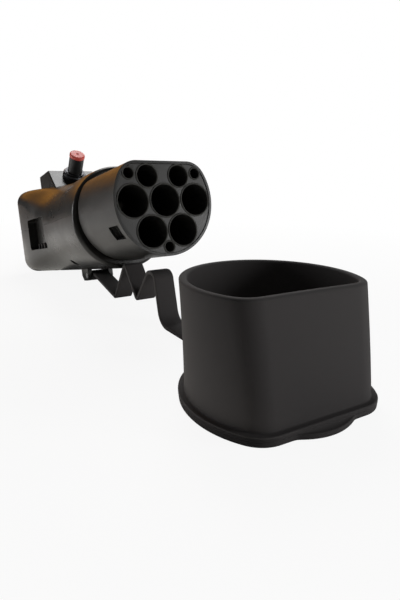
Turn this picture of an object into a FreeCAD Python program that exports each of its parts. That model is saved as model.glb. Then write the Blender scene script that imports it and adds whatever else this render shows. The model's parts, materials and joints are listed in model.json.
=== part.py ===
import FreeCAD, Part
import math
import os

# Vehicle charging adapter: a seven-hole D-shaped plug face at the front, a two-shell housing, and a
# round five-contact nose with a sprung latch at the back. A rubber dust cap hangs on a folded strap.
# The adapter is built in its own frame and then laid on the table:
# X to the right, Y from the plug face towards the nose, Z up, face centre at zero, millimetres.

Vec = FreeCAD.Vector
X_AXIS = Vec(1, 0, 0)
Y_AXIS = Vec(0, 1, 0)
Z_AXIS = Vec(0, 0, 1)

# Clearances
FIT = 0.05                 # radial, fixed piece in its bore
SLIDE = 0.08               # radial, moving piece in its bore
SEAT = 0.1                 # between faces that meet in one body
FREE = 0.3                 # between pieces that only pass each other
ASIDE = 100.0              # reach of a cut that goes right past the housing

# Plug barrel and its D outline
BARREL_RADIUS = 25.2
BARREL_FLAT = 17.65        # height of the flat above the face centre
BARREL_CORNER = 10.0
BARREL_CENTRE_Z = -0.3
BARREL_LENGTH = 47.0
BARREL_DRAFT = 0.8         # growth of the radius from face to root
BARREL_RIM = 1.2           # wall between the carrier and the outside at the face
ROOT_GAP = 3.0             # room for the rubber ring between barrel and collar
SHOULDER_WALL = 2.0        # of the barrel behind the contact stack
FACE_RECESS = 0.4
NOTCH_START = 3.3
NOTCH_LENGTH = 10.7
NOTCH_WIDTH = 7.0
NOTCH_DEPTH = 3.0
NOTCH_ANGLE = 30.5         # below horizontal, on both sides

# Contact positions in the plug face
POWER_PITCH = 16.0
SIGNAL_X = 8.0
SIGNAL_Z = 11.0
POWER_HOLE = 7.35          # radii
SIGNAL_HOLE = 5.0
POWER_PIN = 3.0
SIGNAL_PIN = 1.5
PIN_RECESS = 16.0          # pin tip behind the face
PIN_ROOT_STEP = 0.4        # the pin is this much thicker where the carrier holds it
RETAINER_THICK = 4.8
CARRIER_END = BARREL_LENGTH - SHOULDER_WALL - RETAINER_THICK - 2 * SEAT
HOLE_FLOOR = 4.0
HOLE_DEPTH = CARRIER_END - HOLE_FLOOR
PIN_TIP = 0.6              # rounding of the tip, as a share of the pin's radius
PIN_COLLAR_THICK = 2.0
PIN_COLLAR_RIM = 1.4
PIN_REACH = 15.0           # of the pins behind the barrel
PIN_TAIL = BARREL_LENGTH + PIN_REACH
SCREW_HOLE = 2.5
SIDE_SCREW_X = 17.0
SIDE_SCREW_Z = 12.2
LOW_SCREW_Z = -21.2
CARRIER_SCREW_HEAD = 2.3
CARRIER_SCREW_SHANK = 1.4
CARRIER_SCREW_HEAD_THICK = 2.2
CARRIER_SCREW_LAND = 6.0
CARRIER_SCREW_SEAT = CARRIER_END - CARRIER_SCREW_LAND

# Neck of the barrel, trapped between the shells
NECK_RADIUS = 23.4
NECK_FLAT = 15.8
NECK_CORNER = 8.0
NECK_BORE_RADIUS = 19.3
NECK_BORE_FLAT = 13.3
NECK_BORE_CORNER = 5.0
SEAL_RADIUS = 25.0
SEAL_FLAT = 17.2

# Housing: a round collar at the front sweeps into a rounded square flange at the back
COLLAR_Y = BARREL_LENGTH + ROOT_GAP
FLANGE_Y = 156.0
HOUSING_AXIS_Z = -2.5
COLLAR_RADIUS = 28.0
FLANGE_HALF_WIDTH = 33.8
FLANGE_TOP = 28.0
FLANGE_BOTTOM = -28.7
FLANGE_CORNER = 9.0
COLLAR_FLAT = 0.1          # half the straight left between the corner arcs at the collar
SWEEP = (0.0, 0.04, 0.16, 0.55, 0.9, 1.0)      # how far each section has grown to the flange
SWEEP_Y = (0.0, 0.3, 0.55, 0.75, 0.9, 1.0)     # where it stands between collar and flange
WALL = 2.6
WEB = 3.0
FLANGE_DISC_THICK = 3.0
RIB = 2.4
RIB_OPENING = 22.4
COLLAR_ROUND = 2.2
FLANGE_ROUND = 1.4
SEAM_Z = 0.5
SEAM_DEPTH = 0.4
SEAM_WIDTH = 0.5

# Side pockets in the flange
POCKET_FRONT = FLANGE_Y - 46.0
POCKET_BACK = FLANGE_Y - 18.0
POCKET_LOW = -14.0
POCKET_HIGH = 6.0
POCKET_FLOOR_X = 27.2
POCKET_CORNER = 2.0

# Raised block over the latch
BLOCK_HALF_WIDTH = 16.0
BLOCK_TOP = 38.5
BLOCK_SHOULDER_Y = FLANGE_Y - 23.0     # where the flat top meets the slope
BLOCK_WALL = 2.4
BLOCK_ROUND = 1.0
SLOPE_DEG = 45.0
SLOPE_RUN = 22.0

# Push button on the slope; places are heights above the slope
BUTTON_DROP = 7.8          # down the slope from its upper edge
SLEEVE_RADIUS = 4.7
SLEEVE_TOP = 16.2
SLEEVE_SHOULDER = -1.0
PRESS_TRAVEL = 2.9
SPRING_WIRE = 0.3
SPRING_TURNS = 3
BUTTON_CAP_THICK = 2.2
BUTTON_CAP_RADIUS = 4.9
DIMPLE_RADIUS = 1.0
BUSH_RADIUS = 6.0
BUSH_TOP = 5.2
BUSH_LIP = 1.4
BUSH_BOTTOM = SLEEVE_SHOULDER - PRESS_TRAVEL - 2 * SPRING_WIRE * (SPRING_TURNS + 1) - BUSH_LIP
BUSH_FLANGE_RADIUS = 7.6
BUSH_FLANGE_THICK = 1.4
WASHER_RADIUS = 7.6
WASHER_THICK = 1.3
NUT_RADIUS = 7.4
NUT_THICK = 2.8
ROD_RADIUS = 2.4
ROD_END = -9.0

# Round nose for the vehicle inlet
NOSE_LENGTH = 36.0         # behind the flange
NOSE_END = FLANGE_Y + NOSE_LENGTH
NOSE_RADIUS = 21.9
NOSE_WALL = 2.4
NOSE_ROOT_STEP = 0.7       # the nose is this much thicker where it passes the shells
NOSE_FLANGE_RADIUS = 24.2
NOSE_FLANGE_THICK = 3.0
NOSE_LEAD = 1.0
INSERT_THICK = 4.0
POST_END = NOSE_END - 3.0
POST_POWER = ((-7.85, 6.8), (7.85, 6.8))
POST_EARTH = (0.0, -10.6)
POST_SIGNAL = ((-10.5, -5.6), (10.5, -5.6))
POST_POWER_RADIUS = 5.6
POST_EARTH_RADIUS = 4.8
POST_SIGNAL_RADIUS = 3.6
POST_LEAD = 0.7
SOCKET_POWER = (3.0, 1.8)
SOCKET_EARTH = (2.6, 1.4)
SOCKET_SIGNAL = (1.7, 0.75)
SOCKET_SETBACK = 3.0
SOCKET_DEPTH = 18.0
SOCKET_TAIL = FLANGE_Y - 14.0

# Latch lever, its pin and spring
LATCH_PIVOT_Y = FLANGE_Y - 4.5
LATCH_PIVOT_Z = 32.0
LATCH_PIN_RADIUS = 1.5
LATCH_PIN_CAP = 0.8        # wall left outside the pin's ends
LATCH_HUB = 3.6
LATCH_HALF_WIDTH = 5.0
HOOK_END_Y = NOSE_END - 2.0
HOOK_LOW_Z = 23.8
SLOT_HALF_WIDTH = 6.0
LATCH_SPRING_Y = FLANGE_Y - 13.5
LATCH_SPRING_RADIUS = 2.4
SHELF_TOP = 16.6
SHELF_THICK = 2.2

# Shell screws, board and wires
BOSS_RADIUS = 3.8
BOSS_PLACES = ((17.0, 92.0), (17.0, FLANGE_Y - 24.0))
SHELL_SCREW_HEAD = 2.7
SHELL_SCREW_HEAD_THICK = 2.0
SHELL_SCREW_SHANK = 1.5
SHELL_SCREW_REACH = 14.0
BOARD = (24.0, 22.0, 1.6)
BOARD_Y = 98.0
BOARD_Z = -19.0
BOARD_POST = 2.0
BOARD_POST_INSET = 3.0
RESISTOR_RADIUS = 1.2
RESISTOR_LENGTH = 6.5
POWER_WIRE = 1.9
SIGNAL_WIRE = 0.7
WIRE_LEAD = 10.0
WIRE_BEND = 8.0
POWER_WIRE_VIA = ((9.5, 88.0, 4.0),)       # inboard of the front bosses
SIGNAL_WIRE_VIA = ((22.2, 84.0, 3.5), (22.4, 98.0, 3.0))      # outboard of them

# Lug and pin that hold the strap under the lower shell
LUG_Y = 100.0
LUG_Z = -34.0
LUG_RADIUS = 3.2
LUG_THICK = 2.8
LUG_BACK = 109.0
STRAP_PIN_RADIUS = 1.5

# Dust cap and strap, in the table's frame
PITCH_DEG = 11.5           # the adapter lies nose up by this much
CAP_CENTRE_X = -3.5
CAP_CENTRE_Y = -84.0
CAP_YAW_DEG = -3.5
CAP_HEIGHT = 41.2
CAP_TOP_RADIUS = 29.4
CAP_TOP_FLAT = 19.0
CAP_BASE_RADIUS = 31.2
CAP_BASE_FLAT = 22.5
CAP_CORNER = 10.0
CAP_WALL = 2.6
CAP_FLOOR = 3.0
CAP_RIM_HEIGHT = 3.4
CAP_RIM_STEP = 1.9
CAP_LIP = 3.2              # how far the finger lip stands out of the flat side
CAP_LIP_RADIUS = 22.0
STRAP_WIDTH = 10.5
STRAP_THICK = 2.0
STRAP_FOLD = 1.7           # centre-line radii
STRAP_BEND = 4.0
STRAP_ELBOW = 8.0
STRAP_FIRST_FOLD = 52.8    # where the strap first meets the table
STRAP_FOLDS = ((38.0, 23.4), (23.2, 6.6), (9.8, 24.4), (3.4, 25.0))
STRAP_FOOT = -3.6          # where it comes down in front of the plug


def place(y, z):
    """Point in the middle plane of the adapter."""
    return Vec(0, y, z)


def rod(start, axis, radius, length):
    return Part.makeCylinder(radius, length, start, axis)


def y_rod(x, z, y0, y1, radius):
    return rod(Vec(x, y0, z), Y_AXIS, radius, y1 - y0)


def block(x0, x1, y0, y1, z0, z1):
    return Part.makeBox(x1 - x0, y1 - y0, z1 - z0, Vec(x0, y0, z0))


def d_wire(radius, flat, corner, lay):
    """D outline: a circle cut by a flat at +v, its two corners rounded; lay maps u, v to space."""
    reach = radius - corner
    cv = flat - corner
    cu = math.sqrt(reach ** 2 - cv ** 2)
    scale = radius / reach
    mid = math.radians(45.0 + 0.5 * math.degrees(math.atan2(cv, cu)))
    right = (cu * scale, cv * scale)
    bend = (cu + corner * math.cos(mid), cv + corner * math.sin(mid))
    top = (cu, flat)
    mirror = [(-u, v) for u, v in (top, bend, right)]
    p = [lay(*q) for q in (right, bend, top, *mirror, (0.0, -radius))]
    return Part.Wire([
        Part.Arc(p[0], p[1], p[2]).toShape(),
        Part.LineSegment(p[2], p[3]).toShape(),
        Part.Arc(p[3], p[4], p[5]).toShape(),
        Part.Arc(p[5], p[6], p[0]).toShape(),
    ])


def barrel_wire(radius, flat, corner, y):
    """D outline of the plug, upright, at the given y."""
    rise = BARREL_CENTRE_Z
    return d_wire(radius, flat - rise, corner, lambda u, v: Vec(u, y, v + rise))


def barrel_prism(radius, flat, corner, y0, y1, growth=0.0):
    ends = [barrel_wire(radius, flat, corner, y0),
            barrel_wire(radius + growth, flat + growth, corner + growth, y1)]
    return Part.makeLoft(ends, True, True)


def housing_section(y, half_width, low, high, corner):
    """Rounded rectangle between a full circle at the collar and the square flange."""
    centre_z = 0.5 * (low + high)
    half_height = 0.5 * (high - low)
    flat_x = half_width - corner
    flat_z = half_height - corner
    knee = corner * math.sqrt(0.5)
    edges = []
    last = Vec(half_width, y, centre_z - flat_z)
    for sx, sz, first in ((1, 1, "side"), (-1, 1, "top"), (-1, -1, "side"), (1, -1, "top")):
        side = Vec(sx * half_width, y, centre_z + sz * flat_z)
        top = Vec(sx * flat_x, y, centre_z + sz * half_height)
        crown = Vec(sx * (flat_x + knee), y, centre_z + sz * (flat_z + knee))
        start, end = (side, top) if first == "side" else (top, side)
        edges.append(Part.LineSegment(last, start).toShape())
        edges.append(Part.Arc(start, crown, end).toShape())
        last = end
    return Part.Wire(edges)


def housing_loft(inset):
    """Housing from the round collar to the square flange, every section drawn in by inset."""
    sections = []
    collar_corner = COLLAR_RADIUS - COLLAR_FLAT
    for grow, along in zip(SWEEP, SWEEP_Y):
        y = COLLAR_Y + along * (FLANGE_Y - COLLAR_Y)
        half = COLLAR_RADIUS + grow * (FLANGE_HALF_WIDTH - COLLAR_RADIUS)
        low = HOUSING_AXIS_Z - COLLAR_RADIUS
        low += grow * (FLANGE_BOTTOM - low)
        high = HOUSING_AXIS_Z + COLLAR_RADIUS
        high += grow * (FLANGE_TOP - high)
        corner = min(collar_corner + grow * (FLANGE_CORNER - collar_corner), 0.5 * (high - low) - COLLAR_FLAT)
        sections.append(housing_section(y, half - inset, low + inset, high - inset, corner - inset))
    return Part.makeLoft(sections, True, False)


def edges_at_y(shape, y):
    return [e for e in shape.Edges if abs(e.BoundBox.YMin - y) < 0.01 and abs(e.BoundBox.YMax - y) < 0.01]


def profile(points, half_width):
    """Solid of a Y-Z outline, as wide as half_width each side."""
    corners = [Vec(-half_width, y, z) for y, z in points]
    face = Part.Face(Part.makePolygon(corners + corners[:1]))
    return face.extrude(Vec(2 * half_width, 0, 0))


def both_sides(make):
    """One piece on each side of the middle plane."""
    return [make(-1.0), make(1.0)]


def join(shapes):
    first = shapes[0]
    return first.multiFuse(shapes[1:]).removeSplitter() if len(shapes) > 1 else first


def power_places():
    """Face places of the five power holes, earth in the middle."""
    low = POWER_PITCH * math.sin(math.radians(60.0))
    half = 0.5 * POWER_PITCH
    return {"earth": (0.0, 0.0), "neutral": (-POWER_PITCH, 0.0), "line": (POWER_PITCH, 0.0),
            "spare_left": (-half, -low), "spare_right": (half, -low)}


def signal_places():
    return {"proximity": (-SIGNAL_X, SIGNAL_Z), "control_pilot": (SIGNAL_X, SIGNAL_Z)}


def carrier_screw_places():
    return ((-SIDE_SCREW_X, SIDE_SCREW_Z), (SIDE_SCREW_X, SIDE_SCREW_Z), (0.0, LOW_SCREW_Z))


def carrier_outline(clearance):
    radius = BARREL_RADIUS - BARREL_RIM - clearance
    return radius, BARREL_FLAT - BARREL_RIM - clearance, BARREL_CORNER - BARREL_RIM


def notch_cutters():
    """Lock notches in both flanks of the barrel, cut square to its surface."""
    cutters = []
    for side in (0.0, 180.0):
        cutter = block(BARREL_RADIUS - NOTCH_DEPTH, BARREL_RADIUS + NOTCH_DEPTH, NOTCH_START,
                       NOTCH_START + NOTCH_LENGTH, -0.5 * NOTCH_WIDTH, 0.5 * NOTCH_WIDTH)
        turn = NOTCH_ANGLE if side == 0.0 else 180.0 - NOTCH_ANGLE
        cutter.rotate(Vec(0, 0, 0), Y_AXIS, turn)
        cutter.translate(Vec(0, 0, BARREL_CENTRE_Z))
        cutters.append(cutter)
    return cutters


def retainer_start():
    return CARRIER_END + SEAT


def retainer_end():
    return retainer_start() + RETAINER_THICK


def shoulder_y():
    """Shoulder inside the barrel that the contact stack sits on."""
    return BARREL_LENGTH - SHOULDER_WALL


def disc_start():
    return COLLAR_Y + WEB + SEAT


def neck_end():
    return disc_start() + FLANGE_DISC_THICK


def make_barrel():
    shell = barrel_prism(BARREL_RADIUS, BARREL_FLAT, BARREL_CORNER, 0.0, BARREL_LENGTH, BARREL_DRAFT)
    neck = barrel_prism(NECK_RADIUS, NECK_FLAT, NECK_CORNER, BARREL_LENGTH, neck_end())
    disc = y_rod(0, HOUSING_AXIS_Z, disc_start(), neck_end(), COLLAR_RADIUS - WALL - SEAT)
    body = join([shell, neck, disc])
    bore = barrel_prism(*carrier_outline(0.0), -1.0, shoulder_y())
    neck_bore = barrel_prism(NECK_BORE_RADIUS, NECK_BORE_FLAT, NECK_BORE_CORNER,
                             shoulder_y() - 1.0, neck_end() + 1.0)
    body = body.cut(bore).cut(neck_bore)
    for x, z in carrier_screw_places():
        body = body.cut(y_rod(x, z, shoulder_y() - 1.0, neck_end() - 1.0, CARRIER_SCREW_SHANK + FIT))
    for cutter in notch_cutters():
        body = body.cut(cutter)
    return body


def make_carrier():
    body = barrel_prism(*carrier_outline(SEAT), FACE_RECESS, CARRIER_END)
    cuts = []
    for name, (x, z) in power_places().items():
        cuts.append(y_rod(x, z, -1.0, HOLE_DEPTH, POWER_HOLE))
        if not name.startswith("spare"):
            cuts.append(y_rod(x, z, HOLE_DEPTH - 1.0, CARRIER_END + 1.0, root_of(POWER_PIN) + FIT))
    for x, z in signal_places().values():
        cuts.append(y_rod(x, z, -1.0, HOLE_DEPTH, SIGNAL_HOLE))
        cuts.append(y_rod(x, z, HOLE_DEPTH - 1.0, CARRIER_END + 1.0, root_of(SIGNAL_PIN) + FIT))
    for x, z in carrier_screw_places():
        cuts.append(y_rod(x, z, -1.0, CARRIER_SCREW_SEAT, SCREW_HOLE))
        cuts.append(y_rod(x, z, CARRIER_SCREW_SEAT - 1.0, CARRIER_END + 1.0, CARRIER_SCREW_SHANK + FIT))
    cuts += notch_cutters()
    for cutter in cuts:
        body = body.cut(cutter)
    return body


def root_of(radius):
    """Radius of a pin where the carrier and the retainer hold it."""
    return radius + PIN_ROOT_STEP


def collar_of(radius):
    return root_of(radius) + PIN_COLLAR_RIM


def make_retainer():
    """Plate that clamps the pin collars against the carrier."""
    start = retainer_start()
    end = retainer_end()
    body = barrel_prism(*carrier_outline(SEAT), start, end)
    pins = [(*power_places()[n], POWER_PIN) for n in ("earth", "neutral", "line")]
    pins += [(x, z, SIGNAL_PIN) for x, z in signal_places().values()]
    for x, z, radius in pins:
        body = body.cut(y_rod(x, z, start - 1.0, end + 1.0, root_of(radius) + FIT))
        body = body.cut(y_rod(x, z, start - 1.0, start + PIN_COLLAR_THICK + SEAT, collar_of(radius) + FIT))
    for x, z in carrier_screw_places():
        body = body.cut(y_rod(x, z, start - 1.0, end + 1.0, CARRIER_SCREW_SHANK + FIT))
    return body


def make_pin(x, z, radius):
    """Turned pin: rounded tip, thicker root with the clamped collar, slimmer tail for the wire."""
    pin = y_rod(x, z, PIN_RECESS, HOLE_DEPTH + 1.0, radius)
    tip = edges_at_y(pin, PIN_RECESS)
    pin = pin.makeFillet(PIN_TIP * radius, tip)
    root = y_rod(x, z, HOLE_DEPTH, retainer_end(), root_of(radius))
    tail = y_rod(x, z, HOLE_DEPTH, PIN_TAIL, radius - PIN_ROOT_STEP)
    collar = y_rod(x, z, retainer_start(), retainer_start() + PIN_COLLAR_THICK, collar_of(radius))
    return join([pin, root, tail, collar])


def hex_recess(centre, axis, flats, depth):
    """Six-sided recess that sinks from centre against axis."""
    radius = flats / math.sqrt(3.0)
    side = X_AXIS if abs(axis.dot(X_AXIS)) < 0.9 else Z_AXIS
    other = axis.cross(side)
    corners = []
    for i in range(6):
        a = math.radians(60.0 * i)
        corners.append(centre + side * (radius * math.cos(a)) + other * (radius * math.sin(a)))
    face = Part.Face(Part.makePolygon(corners + corners[:1]))
    return face.extrude(axis * -depth)


def screw(seat, axis, head_radius, head_thick, shank_radius, shank_length):
    """Cap screw: seat is where its head meets the work, axis points out of the head."""
    head = rod(seat, axis, head_radius, head_thick)
    shank = rod(seat - axis * shank_length, axis, shank_radius, shank_length)
    recess = hex_recess(seat + axis * head_thick, axis, head_radius, 0.6 * head_thick)
    return join([head, shank]).cut(recess)


def make_carrier_screws():
    length = neck_end() - 1.5 - CARRIER_SCREW_SEAT
    return Part.makeCompound([
        screw(Vec(x, CARRIER_SCREW_SEAT, z), Vec(0, -1, 0), CARRIER_SCREW_HEAD,
              CARRIER_SCREW_HEAD_THICK, CARRIER_SCREW_SHANK, length)
        for x, z in carrier_screw_places()])


def make_root_seal():
    """Rubber ring between the barrel's root and the collar."""
    ring = barrel_prism(SEAL_RADIUS, SEAL_FLAT, BARREL_CORNER, BARREL_LENGTH + SEAT, COLLAR_Y - SEAT)
    return ring.cut(barrel_prism(NECK_RADIUS + SEAT, NECK_FLAT + SEAT, NECK_CORNER + SEAT,
                                 BARREL_LENGTH - 1.0, COLLAR_Y + 1.0))


def slope_direction():
    """Down the slope, towards the plug."""
    a = math.radians(SLOPE_DEG)
    return Vec(0, -math.cos(a), -math.sin(a))


def button_out():
    """Out of the slope, along the button."""
    a = math.radians(SLOPE_DEG)
    return Vec(0, -math.sin(a), math.cos(a))


def button_at(height):
    base = place(BLOCK_SHOULDER_Y, BLOCK_TOP) + slope_direction() * BUTTON_DROP
    return base + button_out() * height


def block_profile(inset):
    """Side view of the raised block, drawn in by inset."""
    run = slope_direction() * SLOPE_RUN
    shift = inset * math.tan(math.radians(0.5 * SLOPE_DEG))
    top = BLOCK_TOP - inset
    shoulder = (BLOCK_SHOULDER_Y + shift, top)
    foot = (shoulder[0] + run.y, top + run.z)
    return [shoulder, foot, (foot[0], 10.0), (FLANGE_Y - inset, 10.0), (FLANGE_Y - inset, top)]


def pocket(side, margin):
    """Side pocket, or with a margin the room that its skin needs."""
    inner = POCKET_FLOOR_X - margin
    outer = FLANGE_HALF_WIDTH + 4.0
    x0, x1 = (inner, outer) if side > 0 else (-outer, -inner)
    body = block(x0, x1, POCKET_FRONT - margin, POCKET_BACK + margin,
                 POCKET_LOW - margin, POCKET_HIGH + margin)
    along_x = [e for e in body.Edges if e.BoundBox.XLength > 1.0]
    return body.makeFillet(POCKET_CORNER + margin, along_x)


def nose_disc_start():
    return FLANGE_Y - WALL - SEAT - NOSE_FLANGE_THICK


def boss_columns():
    low = boss_bottom()
    return [rod(Vec(side * x, y, low), Z_AXIS, BOSS_RADIUS, -2.0 * low)
            for x, y in BOSS_PLACES for side in (-1.0, 1.0)]


def latch_pin_bosses():
    """Thick hubs on the block's side walls that hold the latch pin."""
    inner = LATCH_HALF_WIDTH + FREE
    length = BLOCK_HALF_WIDTH - inner
    return both_sides(lambda side: rod(Vec(side * inner, LATCH_PIVOT_Y, LATCH_PIVOT_Z), X_AXIS * side,
                                       LATCH_PIN_RADIUS + 2.0, length))


def shell_cavity():
    """Hollow of the housing: trap for the barrel's disc, a rib, the main room and the latch's room."""
    room = block(-ASIDE, ASIDE, neck_end() + SEAT + RIB, FLANGE_Y - WALL, -ASIDE, ASIDE)
    main = housing_loft(WALL).common(room)
    above = profile(block_profile(BLOCK_WALL), BLOCK_HALF_WIDTH - BLOCK_WALL)
    backs = both_sides(lambda side: pocket(side, WALL - 0.4))
    main = main.fuse(above).cut(backs + boss_columns() + latch_pin_bosses())
    trap = y_rod(0, HOUSING_AXIS_Z, COLLAR_Y + WEB, neck_end() + SEAT, COLLAR_RADIUS - WALL)
    opening = y_rod(0, HOUSING_AXIS_Z, neck_end(), neck_end() + SEAT + RIB + 1.0, RIB_OPENING)
    return main.fuse([trap, opening])


def boss_bottom():
    return HOUSING_AXIS_Z - COLLAR_RADIUS


def screw_seat_z():
    return SEAM_Z - SHELL_SCREW_REACH


def make_lugs():
    """Two ears under the lower shell, with the bore of the strap pin."""
    ears = []
    root = boss_bottom() + 0.5 * WALL
    low = LUG_Z - LUG_RADIUS
    for side in (-1.0, 1.0):
        x0 = 0.5 * STRAP_WIDTH + FREE
        x0, x1 = sorted((side * x0, side * (x0 + LUG_THICK)))
        tip = rod(Vec(x0, LUG_Y, LUG_Z), X_AXIS, LUG_RADIUS, x1 - x0)
        outline = [(LUG_Y - LUG_RADIUS, LUG_Z), (LUG_Y, low), (LUG_BACK - LUG_RADIUS, low),
                   (LUG_BACK, low + LUG_RADIUS), (LUG_BACK, root), (LUG_Y - LUG_RADIUS, root)]
        corners = [Vec(x0, y, z) for y, z in outline]
        web = Part.Face(Part.makePolygon(corners + corners[:1])).extrude(Vec(x1 - x0, 0, 0))
        bore = rod(Vec(x0 - 1.0, LUG_Y, LUG_Z), X_AXIS, STRAP_PIN_RADIUS + FIT, LUG_THICK + 2.0)
        ears.append(tip.fuse(web).cut(bore))
    return ears


def shell_openings():
    """Everything that passes through the shells' walls."""
    cuts = both_sides(lambda side: pocket(side, 0.0))
    cuts.append(barrel_prism(NECK_RADIUS + SEAT, NECK_FLAT + SEAT, NECK_CORNER + SEAT,
                             COLLAR_Y - 1.0, COLLAR_Y + WEB + 1.0))
    cuts.append(y_rod(0, 0, FLANGE_Y - WALL - 1.0, FLANGE_Y + 1.0, NOSE_RADIUS + NOSE_ROOT_STEP + SEAT))
    cuts.append(block(-SLOT_HALF_WIDTH, SLOT_HALF_WIDTH, FLANGE_Y - WALL - 1.0, FLANGE_Y + 1.0,
                      NOSE_RADIUS + 2.0, BLOCK_TOP - BLOCK_WALL))
    cuts.append(rod(button_at(-2.0 * BLOCK_WALL), button_out(), BUSH_RADIUS + FIT, 4.0 * BLOCK_WALL))
    cuts.append(rod(button_at(0.0), button_out(), WASHER_RADIUS + FREE, SLEEVE_TOP))
    pin_half = BLOCK_HALF_WIDTH - LATCH_PIN_CAP
    pin_start = Vec(-pin_half, LATCH_PIVOT_Y, LATCH_PIVOT_Z)
    cuts.append(rod(pin_start, X_AXIS, LATCH_PIN_RADIUS + FIT, 2 * pin_half))
    for x, y in BOSS_PLACES:
        for side in (-1.0, 1.0):
            foot = Vec(side * x, y, screw_seat_z())
            head_room = SHELL_SCREW_HEAD + 2 * FIT
            cuts.append(rod(foot - Z_AXIS * ASIDE, Z_AXIS, head_room, ASIDE))
            cuts.append(rod(foot - Z_AXIS, Z_AXIS, SHELL_SCREW_SHANK + FIT, 2 * SHELL_SCREW_REACH))
    return cuts


def seam_ring():
    """Shallow groove round the housing where the shells meet."""
    slab = block(-ASIDE, ASIDE, COLLAR_Y + COLLAR_ROUND, FLANGE_Y + 1.0, SEAM_Z - 0.5 * SEAM_WIDTH,
                 SEAM_Z + 0.5 * SEAM_WIDTH)
    return slab.cut(housing_loft(SEAM_DEPTH))


def make_shells():
    """Upper and lower shell, parted at the seam."""
    outer = housing_loft(0.0)
    outer = outer.makeFillet(COLLAR_ROUND, edges_at_y(outer, COLLAR_Y))
    outer = outer.makeFillet(FLANGE_ROUND, edges_at_y(outer, FLANGE_Y))
    hump = profile(block_profile(0.0), BLOCK_HALF_WIDTH)
    ridge = [e for e in hump.Edges if e.BoundBox.ZMax > BLOCK_TOP - 0.01 or
             (e.BoundBox.YMin < BLOCK_SHOULDER_Y - 1.0 and e.BoundBox.ZMax > 25.0)]
    hump = hump.makeFillet(BLOCK_ROUND, ridge)
    skin = outer.fuse(hump).cut(shell_cavity())
    for cutter in shell_openings():
        skin = skin.cut(cutter)
    skin = skin.cut(seam_ring())
    lower = skin.common(block(-ASIDE, ASIDE, 0, FLANGE_Y + ASIDE, -ASIDE, SEAM_Z))
    upper = skin.common(block(-ASIDE, ASIDE, 0, FLANGE_Y + ASIDE, SEAM_Z, ASIDE))
    posts = [rod(Vec(x, y, boss_bottom() + 0.5 * WALL), Z_AXIS, BOARD_POST,
                 BOARD_Z - boss_bottom() - 0.5 * WALL) for x, y in board_corners()]
    return upper, lower.fuse(make_lugs() + posts)


def board_corners():
    inset = BOARD_POST_INSET
    return [(side * (0.5 * BOARD[0] - inset), y) for side in (-1.0, 1.0)
            for y in (BOARD_Y + inset, BOARD_Y + BOARD[1] - inset)]


def make_board():
    z = BOARD_Z + SEAT
    return block(-0.5 * BOARD[0], 0.5 * BOARD[0], BOARD_Y, BOARD_Y + BOARD[1], z, z + BOARD[2])


def make_resistor():
    z = BOARD_Z + SEAT + BOARD[2] + RESISTOR_RADIUS
    start = Vec(-0.5 * RESISTOR_LENGTH, BOARD_Y + 0.5 * BOARD[1], z)
    return rod(start, X_AXIS, RESISTOR_RADIUS, RESISTOR_LENGTH)


def make_shell_screws():
    return Part.makeCompound([
        screw(Vec(side * x, y, screw_seat_z()), Vec(0, 0, -1), SHELL_SCREW_HEAD, SHELL_SCREW_HEAD_THICK,
              SHELL_SCREW_SHANK, 2 * SHELL_SCREW_REACH - 3.0)
        for x, y in BOSS_PLACES for side in (-1.0, 1.0)])


def bush_flat():
    """From the button's axis to the flat that clears the corner of the slope and the top."""
    return BUTTON_DROP - BLOCK_WALL * math.tan(math.radians(0.5 * SLOPE_DEG)) - SEAT


def make_bush():
    """Threaded bush of the button, through the slope's wall."""
    out = button_out()
    body = rod(button_at(BUSH_BOTTOM), out, BUSH_RADIUS, BUSH_TOP - BUSH_BOTTOM)
    top = -BLOCK_WALL - FIT
    flange = rod(button_at(top - BUSH_FLANGE_THICK), out, BUSH_FLANGE_RADIUS, BUSH_FLANGE_THICK)
    beyond = rod(button_at(0.0) - slope_direction() * bush_flat(), slope_direction() * -1.0, 30.0, 10.0)
    body = join([body, flange.cut(beyond)])
    bore = rod(button_at(BUSH_BOTTOM + BUSH_LIP), out, SLEEVE_RADIUS + SLIDE, BUSH_TOP - BUSH_BOTTOM)
    lip = rod(button_at(BUSH_BOTTOM - 1.0), out, ROD_RADIUS + SLIDE, BUSH_LIP + 2.0)
    return body.cut(bore).cut(lip)


def make_washer():
    ring = rod(button_at(FIT), button_out(), WASHER_RADIUS, WASHER_THICK)
    return ring.cut(rod(button_at(-1.0), button_out(), BUSH_RADIUS + FIT, WASHER_THICK + 3.0))


def make_nut():
    """Round nut that clamps the bush from outside."""
    base = WASHER_THICK + 2 * FIT
    out = button_out()
    body = rod(button_at(base), out, NUT_RADIUS, NUT_THICK)
    top = button_at(base + NUT_THICK)
    rim = [e for e in body.Edges if len(e.Vertexes) == 1 and (e.CenterOfMass - top).Length < 0.1]
    body = body.makeChamfer(0.25 * NUT_THICK, rim)
    return body.cut(rod(button_at(base - 1.0), out, BUSH_RADIUS + FIT, NUT_THICK + 2.0))


def make_sleeve():
    """Plunger: black sleeve outside, thin rod with a domed end inside."""
    out = button_out()
    outer = rod(button_at(SLEEVE_SHOULDER), out, SLEEVE_RADIUS, SLEEVE_TOP - SLEEVE_SHOULDER)
    dome_centre = button_at(ROD_END + ROD_RADIUS)
    inner = rod(dome_centre, out, ROD_RADIUS, SLEEVE_SHOULDER - ROD_END - ROD_RADIUS + 1.0)
    dome = Part.makeSphere(ROD_RADIUS, dome_centre)
    return join([outer, inner, dome])


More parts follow.
